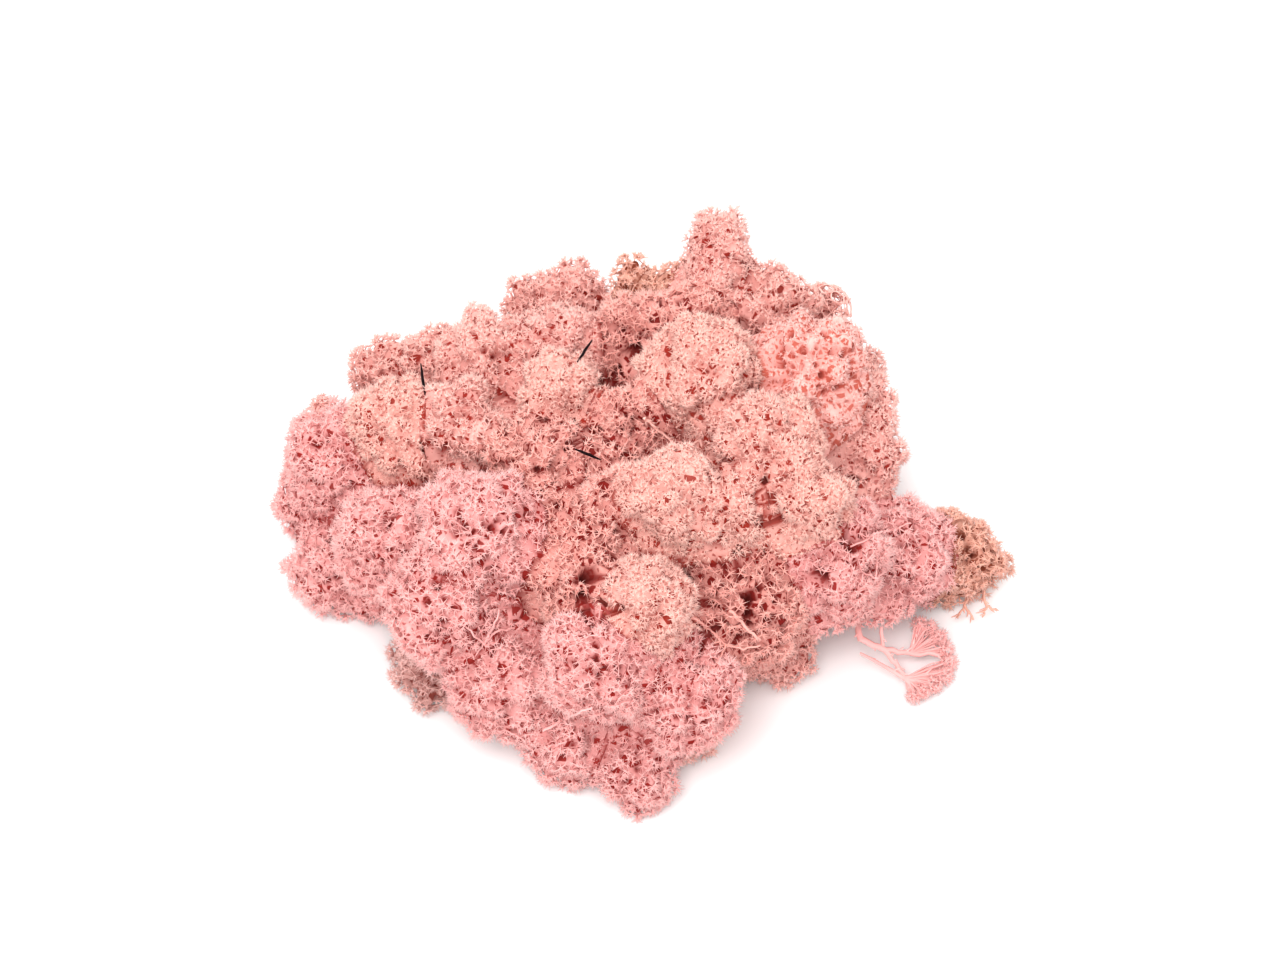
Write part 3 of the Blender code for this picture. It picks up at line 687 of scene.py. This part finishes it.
class Head:
    """One head: its middle, radius, look, open holes, and the planes to its neighbours."""

    def __init__(self, index, clump, gaps):
        self.name, self.look = HEADS[index][0], HEADS[index][5]
        self.clump, self.near = clump, clump.near(index)
        self.centre, self.radius = clump.centres[index], clump.radii[index]
        self.inward = clump.inward[index]
        self.draw = random.Random(SEED + index)
        self.ways, self.far = self.walls(index)
        self.numbers = np.random.default_rng(SEED + index)
        self.pits, self.pit_sizes = self.spread_pits()
        self.rimmed = len(self.pits) if self.look in RIMMED else 0
        close = np.linalg.norm(gaps[:, :3] - self.centre, axis=1) < GAP_REACH * self.radius
        self.pits = np.vstack((self.pits, gaps[close, :3] - self.centre))
        self.pit_sizes = np.concatenate((self.pit_sizes, gaps[close, 3]))

    def spread_pits(self):
        """Middles and radii of the open holes, most of them small."""
        spacing, size = LOOKS[self.look][4:6]
        ways = self.random_ways(PITS_TRIED)
        ways = ways[spaced(ways, [spacing * MM / self.radius] * len(ways))]
        sizes = size * MM * (LEAST_PIT + PIT_SPREAD * self.numbers.random(len(ways)) ** 2)
        return self.surface(ways, 0.0)[0], sizes

    def opening(self, points):
        """For each point: how far it is from the nearest hole's rim, how far it is in a hole,
        from 0 to 1, and how deep the core is pushed in there."""
        gaps = np.linalg.norm(points[:, None, :] - self.pits[None, :, :], axis=2)
        gaps -= self.pit_sizes[None, :]
        share = np.clip((RIM_SOFT - gaps) / (RIM_FADE * RIM_SOFT), 0.0, 1.0)
        depth = (share * (PIT_DEPTH + PIT_STEEPNESS * self.pit_sizes)[None, :]).max(axis=1)
        return gaps.min(axis=1), share.max(axis=1), depth

    def walls(self, index):
        """The planes that part the head from its neighbours, and the ground's."""
        ways, far = [(0.0, 0.0, -1.0)], [self.centre[2]]
        for other, (centre, radius) in enumerate(zip(self.clump.centres, self.clump.radii)):
            way = centre - self.centre
            length = np.linalg.norm(way)
            if other == index or length > math.sqrt(3.0) * CELL_REACH * (self.radius + radius):
                continue
            ways.append(way / length)
            far.append((length**2 + self.radius**2 - radius**2) / (2.0 * length) - GAP / 2.0)
        return np.array(ways), np.array(far)

    def room(self, ways):
        """How far it is from the centre to the nearest plane in these directions."""
        cosines = ways @ self.ways.T
        reach = np.where(cosines > 1e-6, self.far / np.maximum(cosines, 1e-6), FAR_AWAY)
        return reach.min(axis=1)

    def random_ways(self, count):
        """Directions spread evenly at random."""
        ways = self.numbers.normal(size=(count, 3))
        return ways / np.linalg.norm(ways, axis=1)[:, None]

    def surface(self, ways, sunk):
        """Points at a depth under the tips' surface, seen from the middle in these directions,
        and how far each lies in a crease, from 0 to 1."""
        reach = np.full(len(ways), self.radius * MARCH_START)
        for _ in range(MARCH_STEPS):
            points = self.centre + ways * reach[:, None]
            reach = reach - self.clump.distance(points, self.near)
        points = self.centre + ways * reach[:, None]
        swells = np.array([noise.noise(Vector(point) / SWELL_WIDTH) for point in points])
        gaps = np.array([noise.voronoi(Vector(point) / LOBE_WIDTH)[0][0] for point in points])
        crease = np.clip(gaps / CREASE_SHARE, 0.0, 1.0) ** 2
        gaps = np.array([noise.voronoi(Vector(point) / TUFT_WIDTH)[0][0] for point in points])
        small = np.clip(gaps / CREASE_SHARE, 0.0, 1.0) ** 2
        relief = SWELL_HEIGHT * swells - LOBE_DEPTH * (crease - LOBE_MIDDLE)
        reach += relief * min(1.0, self.radius / FULL_RELIEF_RADIUS)
        reach -= TUFT_DEPTH * (small - TUFT_MIDDLE)
        return ways * (reach - sunk)[:, None], 0.5 * (crease + small)

    def normals(self, ways, points):
        """Outward directions of the surface at these points."""
        side = np.cross(ways, np.array(SLANTING))
        side /= np.linalg.norm(side, axis=1)[:, None]
        up = np.cross(side, ways)
        shifted = []
        for shift in (side, up):
            turned = ways + shift * SIDE_STEP
            turned /= np.linalg.norm(turned, axis=1)[:, None]
            shifted.append(self.surface(turned, 0.0)[0] - points)
        normals = np.cross(shifted[0], shifted[1])
        normals /= np.linalg.norm(normals, axis=1)[:, None]
        flip = np.sign((normals * ways).sum(axis=1))
        return normals * flip[:, None]

    def sites(self):
        """Where the stars stand, spread evenly at random: points, normals, creases, and how
        much longer the arms are beside a hole."""
        spacing = LOOKS[self.look][0] * MM
        area = 4.0 * math.pi * self.radius**2 * RELIEF_AREA
        ways = self.random_ways(int(area / spacing**2 * TRIES_PER_SITE))
        roomy = self.room(ways) > self.radius * LEAST_ROOM
        ways = ways[(ways @ self.inward < LOWEST_FACING) & roomy]
        points, crease = self.surface(ways, 0.0)
        inside = (points @ self.ways.T < self.far - WALL_MARGIN).all(axis=1)
        beside = self.opening(points)[0]
        inside &= beside > STAR_ROOM
        ways, points, crease, beside = (part[inside] for part in (ways, points, crease, beside))
        limits = []
        for way, point in zip(ways, points):
            uneven = noise.noise(Vector(point + self.centre) / UNEVEN_WIDTH)
            away = AWAY_SPACING if way @ np.array(VIEW_WAY) < AWAY_FROM else 1.0
            limits.append(spacing * away * (1.0 + UNEVEN * uneven))
        kept = spaced(points, limits)
        ways, points, crease, beside = (part[kept] for part in (ways, points, crease, beside))
        fringe = 1.0 + FRINGE * np.clip(1.5 - beside / FRINGE_WIDTH, 0.0, 1.0)
        return points, self.normals(ways, points), crease, fringe

    def core(self):
        """The dense inside, pushed in at the open holes and kept within the head's own space."""
        depth = LOOKS[self.look][2] * MM
        bm = bmesh.new()
        fineness = 5 if self.radius > FINE_CORE_RADIUS and self.look != "hidden" else 4
        if self.look == "lattice":
            fineness = 6
        bmesh.ops.create_icosphere(bm, subdivisions=fineness, radius=1.0)
        ways = np.array([vert.co.normalized() for vert in bm.verts])
        points, crease = self.surface(ways, 0.0)
        _, opened, sunk = self.opening(points)
        reach = np.linalg.norm(points, axis=1) - depth - sunk
        # Painted shade along the strip where neighbouring cores meet, and full painted shade on
        # walls that lie deep inside, where a core is cut off at its neighbour's plane.
        seam_shade = np.clip(1.0 - (self.room(ways) - reach - depth) / SEAM_WIDTH, 0.0, 1.0)
        seam_shade *= SEAM_SHADE
        room = self.room(ways) + CORE_OVERLAP
        seam_shade[reach > room] = 1.0
        reach = np.clip(np.minimum(reach, room), LEAST_CORE, None)
        points = self.centre + ways * reach[:, None]
        points[:, 2] = np.maximum(points[:, 2], 0.0)
        for vert, point in zip(bm.verts, points):
            vert.co = point
        mesh = bpy.data.meshes.new("core_" + self.name)
        bm.to_mesh(mesh)
        bm.free()
        mesh.shade_smooth()
        # Painted shade: half in creases, the seam strips, and full in the open holes; the hidden
        # heads deep inside are shaded all over.
        shade = np.maximum(np.maximum(crease * 0.5, seam_shade), opened)
        if self.look == "hidden":
            shade[:] = 1.0
        # The deepest cavities get more painted shade on top, for a darker red.
        cavity_shade = np.clip((sunk - CAVITY_FROM) / CAVITY_FADE, 0.0, 1.0)
        set_values(mesh, "shade", np.clip(shade, 0.0, 1.0) + cavity_shade)
        return mesh


def frame_of(normal, turn):
    """Two directions across a normal, turned about it."""
    side = normal.orthogonal().normalized()
    other = normal.cross(side)
    return (
        side * math.cos(turn) + other * math.sin(turn),
        other * math.cos(turn) - side * math.sin(turn),
    )


def grow_net(head):
    """The stars at the head's surface and the branches that carry them."""
    spacing, arm, depth, bridges = LOOKS[head.look][:4]
    points, normals, crease, fringe = head.sites()
    skeleton = Skeleton()
    if not len(points):
        return skeleton
    draw = head.draw
    hubs = points + head.centre - normals * (STAR_DEPTH * arm * MM)
    for hub, normal, sunk, longer in zip(hubs, normals, crease, fringe):
        grow_star(skeleton, Vector(hub), Vector(normal), arm * longer, sunk, draw)
    if bridges:
        join_neighbours(skeleton, hubs, bridges, spacing * BRIDGE_REACH, BRIDGE_TIP, draw)
    grow_rims(skeleton, head, draw)
    carry(skeleton, hubs, normals, CARRIER_SPACING * spacing, depth, bridges, draw)
    return skeleton


def grow_rims(skeleton, head, draw):
    """Smooth branches round the open holes, which meet between neighbouring holes."""
    count = head.rimmed
    inside = (head.pits @ head.ways.T < head.far[None, :] - RIM_MARGIN).all(axis=1)
    for i in np.nonzero(inside[:count])[0]:
        pit, size = Vector(head.pits[i]), head.pit_sizes[i]
        normal = pit.normalized()
        away = head.pits[:count] - head.pits[i]
        length = np.linalg.norm(away, axis=1)
        close = (length > 0.0) & (length < 4.0 * size + 1.0 * MM)
        side, other = frame_of(normal, draw.uniform(0.0, math.tau))
        ring, stretch = [], draw.uniform(*RIM_OVAL)
        for k in range(RIM_POINTS):
            angle = math.tau * k / RIM_POINTS
            way = side * math.cos(angle) + other * math.sin(angle) * stretch
            cosines = np.maximum((away[close] @ np.array(way)) / length[close], 0.05)
            reach = (length[close] * 0.5 / cosines).min() if close.any() else FAR_AWAY
            reach = min(reach, size * draw.uniform(*RIM_REACH) + 0.2 * MM)
            place = pit + Vector(head.centre) + way * reach - normal * RIM_SUNK * MM
            place.z = max(place.z, 3.0 * LOWEST_TIP)
            ring.append(tuple(place))
        ring.append(ring[0])
        widths = [RIM_WIDTH * draw.uniform(0.75, 1.25) * MM for _ in ring]
        skeleton.branch(ring, widths, [0.65] * len(ring), draw.random())


def on_surface(clump, across, up):
    """Where the line of sight through this place in the picture meets the joined heads."""
    point = np.array(world_place(across, up, SIGHT_START))
    step = -np.array(VIEW_WAY) * SIGHT_STEP
    path = point[None, :] + step[None, :] * np.arange(SIGHT_STEPS)[:, None]
    hit = clump.distance(path, np.arange(len(HEADS))) < -STEM_SUNK
    return path[hit.argmax()]


def stem_paths(clump):
    """The bare stems' points, laid in the surface, with a point every 0.9 mm or so."""
    paths = []
    for name, radius, places in STEMS:
        corners = [on_surface(clump, *place) for place in places]
        points = []
        for first, second in zip(corners, corners[1:]):
            count = max(2, round(np.linalg.norm(second - first) / STEM_STEP))
            points += [first + (second - first) * i / count for i in range(count)]
        paths.append((name, radius, points + [corners[-1]]))
    return paths


def grow_stems(skeleton, name, paths, draw):
    """The bare stems of one head, with short twigs beside them."""
    for owner, radius, points in paths:
        if owner != name:
            continue
        places, widths = [], []
        for i, point in enumerate(points):
            bend = np.array([draw.uniform(-1.0, 1.0) for _ in range(3)]) * STEM_BEND * MM
            places.append(Vector(point + bend))
            thinner = 1.0 - STEM_THINNING * i / (len(points) - 1)
            widths.append(STEM_SLIMMER * radius * thinner * MM)
        tint = draw.random()
        skeleton.branch([place[:] for place in places], widths, [0.5] * len(points), tint)
        for i, place in enumerate(places[1:-1]):
            way = (places[i + 2] - places[i]).normalized()
            side, _ = frame_of(way, draw.uniform(0.0, math.tau))
            side = (side + VIEW_WAY * 0.4 + way * draw.uniform(0.2, 1.0)).normalized()
            twig = place + side * draw.uniform(*TWIG_LENGTHS) * MM
            thin = [0.5 * widths[i + 1], POINT_WIDTH * MM]
            skeleton.branch([place[:], twig[:]], thin, [0.5, 0.8], tint)


def grow_star(skeleton, hub, normal, arm, sunk, draw):
    """Short pointed arms that spread from one place."""
    tint = draw.random()
    arms = draw.choice(ARM_COUNTS)
    turn = draw.uniform(0.0, math.tau)
    # Stars in creases get painted shade: less pale tips and a little of the shade value.
    bright = 1.0 - 0.3 * sunk
    for k in range(arms):
        around = turn + math.tau * k / arms + draw.uniform(-ARM_TURN, ARM_TURN)
        across, _ = frame_of(normal, around)
        lean = math.radians(draw.uniform(*ARM_LEAN))
        way = normal * math.cos(lean) + across * math.sin(lean)
        tip = hub + way * (arm * MM * draw.uniform(*ARM_LENGTHS))
        tip.z = max(tip.z, LOWEST_TIP)
        widths = [ARM_WIDTH * MM, POINT_WIDTH * MM]
        skeleton.branch([hub[:], tip[:]], widths, [0.5, bright], tint, sunk * 0.3)


def join_neighbours(skeleton, hubs, count, reach, tip, draw):
    """Bridges from each place to its nearest neighbours, so that they make a net."""
    tree = KDTree(len(hubs))
    for i, hub in enumerate(hubs):
        tree.insert(hub, i)
    tree.balance()
    done = set()
    for i, hub in enumerate(hubs):
        for _, other, gap in tree.find_n(hub, count + 1)[1:]:
            pair = (min(i, other), max(i, other))
            if gap > reach * MM or pair in done:
                continue
            done.add(pair)
            ends = [tuple(hub), tuple(hubs[other])]
            skeleton.branch(ends, [BRIDGE_WIDTH * MM] * 2, [tip, tip], draw.random())


def carry(skeleton, hubs, normals, spacing, depth, bridges, draw):
    """Joins neighbouring stars to shared branches further in, level by level."""
    step, width, tip = CARRIER_STEP * depth, CARRIER_WIDTH, CARRIER_TIP
    for level in range(2 if bridges > 1 else 1):
        kept = spaced(hubs, [spacing * MM] * len(hubs))
        parents = hubs[kept] - normals[kept] * (step * MM)
        nearest = ((hubs[:, None, :] - parents[None, :, :]) ** 2).sum(axis=2).argmin(axis=1)
        for i, parent in enumerate(nearest):
            skeleton.branch(
                [tuple(hubs[i]), tuple(parents[parent])],
                [width * 0.8 * MM, width * 1.2 * MM],
                [tip, tip * NEXT_TIP],
                draw.random(),
            )
        hubs, normals = parents, normals[kept]
        if bridges:
            reach = spacing * BRIDGE_REACH
            join_neighbours(skeleton, hubs, bridges, reach, tip * NEXT_TIP, draw)
        spacing, step = spacing * NEXT_SPACING, step * NEXT_STEP
        width, tip = width * NEXT_WIDTH, tip * NEXT_TIP


def bare_branch(skeleton, first, second, draw):
    """A bent branch with a few short nubs, each end given as in SPRIG_BRANCHES."""
    start, end = world_place(*first[:3]), world_place(*second[:3])
    way = end - start
    places, widths = [], []
    last = BARE_POINTS - 1
    for i in range(BARE_POINTS):
        share = i / last
        bend = Vector([draw.uniform(-1.0, 1.0) for _ in range(3)]) * BARE_BEND * MM
        place = start + way * share + (bend if 0 < i < last else Vector())
        places.append(place)
        widths.append((first[3] * (1.0 - share) + second[3] * share) * BARE_SLIMMER * MM)
    tips = [BARE_TIP] * BARE_POINTS
    skeleton.branch([tuple(place) for place in places], widths, tips, draw.random())
    for place in places[1:-1]:
        side, _ = frame_of(way.normalized(), draw.uniform(0.0, math.tau))
        nub = place + (side + way.normalized() * 0.8) * draw.uniform(*NUB_LENGTHS) * MM
        nub.z = max(nub.z, 2.0 * LOWEST_TIP)
        ends = [tuple(place), tuple(nub)]
        skeleton.branch(ends, [0.35 * MM, 0.1 * MM], [BARE_TIP, 0.7], draw.random())


def grow_sprig():
    """The bare branches, and the fine ones of the tufts at their ends."""
    draw = random.Random(SEED)
    numbers = np.random.default_rng(SEED)
    bare, fine = Skeleton(), Skeleton()
    for first, second in SPRIG_BRANCHES:
        bare_branch(bare, first, second, draw)
    for across, up, height, radius in SPRIG_TUFTS:
        middle = world_place(across, up, height)
        fork = world_place(*SPRIG_FORKS[0 if up > SPRIG_HALFWAY else 1])
        ways = numbers.normal(size=(TUFT_PLACES_TRIED, 3))
        ways /= np.linalg.norm(ways, axis=1)[:, None]
        normals = ways[spaced(ways, [TUFT_SPACING / radius] * len(ways))]
        reach = numbers.uniform(*TUFT_REACH, len(normals))[:, None]
        hubs = np.array(middle) + normals * reach * ((radius - 0.5) * MM)
        for hub, normal in zip(hubs, normals):
            if hub[2] > 4.0 * LOWEST_TIP:
                grow_star(fine, Vector(hub), Vector(normal), TUFT_ARM, 0.2, draw)
        join_neighbours(fine, hubs, 1, BRIDGE_REACH, 0.5, draw)
        for hub in hubs[::3]:
            inner = middle + (fork - middle) * draw.uniform(0.1, 0.45)
            shift = Vector([draw.uniform(-1.0, 1.0) for _ in range(3)]) * 0.9 * MM
            ends = [tuple(fork), tuple(inner + shift), tuple(hub)]
            fine.branch(ends, [0.28 * MM, 0.2 * MM, 0.14 * MM], [0.4, 0.45, 0.5], draw.random())
    return bare, fine


def grow_needle(node, draw):
    """A thin dry needle along its CAD solid, thickest in its middle and raised a little
    towards the viewer, so that it shows above the branches."""
    corners = np.array([vert.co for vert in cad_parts[node].data.vertices])
    gaps = np.linalg.norm(corners[:, None, :] - corners[None, :, :], axis=2)
    first, second = np.unravel_index(gaps.argmax(), gaps.shape)
    way = (corners[second] - corners[first]) * NEEDLE_LONGER
    middle = (corners[first] + corners[second]) / 2.0
    start = middle - way / 2.0 + np.array(VIEW_WAY) * NEEDLE_RAISED
    skeleton = Skeleton()
    places, widths = [], []
    for i in range(NEEDLE_POINTS):
        share = i / (NEEDLE_POINTS - 1)
        bend = np.array([draw.uniform(-1.0, 1.0) for _ in range(3)]) * NEEDLE_BEND * MM
        places.append(tuple(start + way * share + bend))
        widths.append((NEEDLE_ENDS + NEEDLE_SWELL * math.sin(math.pi * share)) * MM)
    skeleton.branch(places, widths, [1.0] * NEEDLE_POINTS, 0.5)
    return skeleton


def skeleton_object(name, skeleton, group):
    """An object of bare edges, with the nodes that will turn them into branches."""
    item = bpy.data.objects.new(name, skeleton.mesh(name))
    bpy.context.scene.collection.objects.link(item)
    item.modifiers.new("Branches", "NODES").node_group = group
    return item


def make_real(item):
    """Puts what the modifiers make in place of the skeleton."""
    seen = bpy.context.evaluated_depsgraph_get()
    mesh = bpy.data.meshes.new_from_object(item.evaluated_get(seen))
    bare = item.data
    item.modifiers.clear()
    item.data = mesh
    bpy.data.meshes.remove(bare)


def needle_material():
    """Dry dark brown, with paler streaks."""
    material = bpy.data.materials.new("needle")
    material.use_nodes = True
    tree = Tree(material.node_tree)
    shader = material.node_tree.nodes["Principled BSDF"]
    place = tree.new("ShaderNodeTexCoord").outputs["Object"]
    pattern = {"Vector": place, "Scale": STREAK_SCALE, "Detail": 3.0}
    streaks = tree.new("ShaderNodeTexNoise", pattern)
    share = ((Value(tree, streaks.outputs["Fac"]) - 0.45) * 3.0).clamp()
    dark, pale = (*linear(NEEDLE_DARK), 1.0), (*linear(NEEDLE_PALE), 1.0)
    tree.set(shader.inputs["Base Color"], tree.mix(share, dark, pale))
    shader.inputs["Roughness"].default_value = 0.8
    shader.inputs["Specular IOR Level"].default_value = 0.1
    return material


def finish_piece(name, parts, material, node):
    """Joins the meshes of the parts in one piece for the CAD node."""
    first = parts[0]
    if len(parts) > 1:
        with bpy.context.temp_override(
            active_object=first, object=first, selected_editable_objects=parts
        ):
            bpy.ops.object.join()
    first.name = name
    first.data.name = name
    first.data.materials.clear()
    first.data.materials.append(material)
    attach(first, "root")
    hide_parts(node)


def plain_mesh_object(name, mesh):
    """An object for a finished mesh."""
    item = bpy.data.objects.new(name, mesh)
    bpy.context.scene.collection.objects.link(item)
    return item


def build_clump():
    """All heads with their nets, stems and cores, the sprig, and the needles."""
    materials = {name: moss_material("moss_" + name, *finish) for name, finish in FINISHES.items()}
    fine = branch_group("fine branches", 3)
    clump = Clump()
    paths = stem_paths(clump)
    gaps = [(*point, STEM_ROOM) for _, _, points in paths for point in points]
    for across, up, radius in CAVITIES:
        gaps.append((*on_surface(clump, across, up), CAVITY_SHARE * radius * MM))
    heads = [Head(i, clump, np.array(gaps)) for i in range(len(HEADS))]
    nets = []
    for head in heads:
        skeleton = grow_net(head)
        grow_stems(skeleton, head.name, paths, head.draw)
        if head.name == "tan_head":
            for first, second in TAN_FORKS:
                bare_branch(skeleton, first, second, head.draw)
        nets.append(skeleton_object("net_" + head.name, skeleton, fine))
    for head, net in zip(heads, nets):
        make_real(net)
        core = plain_mesh_object("core_" + head.name, head.core())
        material = materials[LOOKS[head.look][6]]
        node = "head_" + head.name
        finish_piece("moss_" + head.name, [net, core], material, node)
    bare, twigs = grow_sprig()
    stout = branch_group("stout branches", 7)
    draw = random.Random(SEED)
    needles = [skeleton_object(name, grow_needle(name, draw), stout) for name in NEEDLES]
    stems = skeleton_object("sprig_stems", bare, stout)
    tufts = skeleton_object("sprig_tufts", twigs, fine)
    for item in (*needles, stems, tufts):
        make_real(item)
    for name, item in zip(NEEDLES, needles):
        finish_piece("moss_" + name, [item], needle_material(), name)
    name = "head_open_sprig"
    finish_piece("moss_open_sprig", [stems, tufts], materials["low"], name)


def add_floor():
    """A wide pale floor."""
    bm = bmesh.new()
    bmesh.ops.create_grid(bm, x_segments=1, y_segments=1, size=FLOOR_SIZE)
    mesh = bpy.data.meshes.new("floor")
    bm.to_mesh(mesh)
    bm.free()
    floor = plain_mesh_object("floor", mesh)
    material = bpy.data.materials.new("floor")
    material.use_nodes = True
    shader = material.node_tree.nodes["Principled BSDF"]
    shader.inputs["Base Color"].default_value = (FLOOR_GREY, FLOOR_GREY, FLOOR_GREY, 1.0)
    shader.inputs["Roughness"].default_value = 0.9
    mesh.materials.append(material)


def add_light(name, place, size, power, color):
    """A soft square light that looks at the clump."""
    light = bpy.data.lights.new(name, "AREA")
    light.size = size
    light.energy = power
    light.color = color
    item = bpy.data.objects.new(name, light)
    item.location = place
    item.rotation_euler = (VIEW_TARGET - Vector(place)).to_track_quat("-Z", "Y").to_euler()
    bpy.context.scene.collection.objects.link(item)


def add_camera():
    """The camera, at the angle and distance that give the photograph's scale."""
    camera = bpy.data.cameras.new("camera")
    camera.lens = LENS_MM
    camera.sensor_width = SENSOR_MM
    camera.clip_start = 0.01
    item = bpy.data.objects.new("camera", camera)
    distance = LENS_MM * PICTURE_WIDTH / SENSOR_MM
    item.location = VIEW_TARGET + VIEW_WAY * distance
    item.rotation_euler = (-VIEW_WAY).to_track_quat("-Z", "Y").to_euler()
    bpy.context.scene.collection.objects.link(item)
    bpy.context.scene.camera = item


def add_world():
    """Even white light from all sides."""
    world = bpy.data.worlds.new("studio")
    world.use_nodes = True
    sky = world.node_tree.nodes["Background"]
    sky.inputs["Color"].default_value = (1.0, 1.0, 1.0, 1.0)
    sky.inputs["Strength"].default_value = WORLD_STRENGTH
    bpy.context.scene.world = world
    bpy.context.scene.view_settings.view_transform = "Standard"


add_camera()
add_world()
for light in LIGHTS:
    add_light(*light)
build_clump()
add_floor()
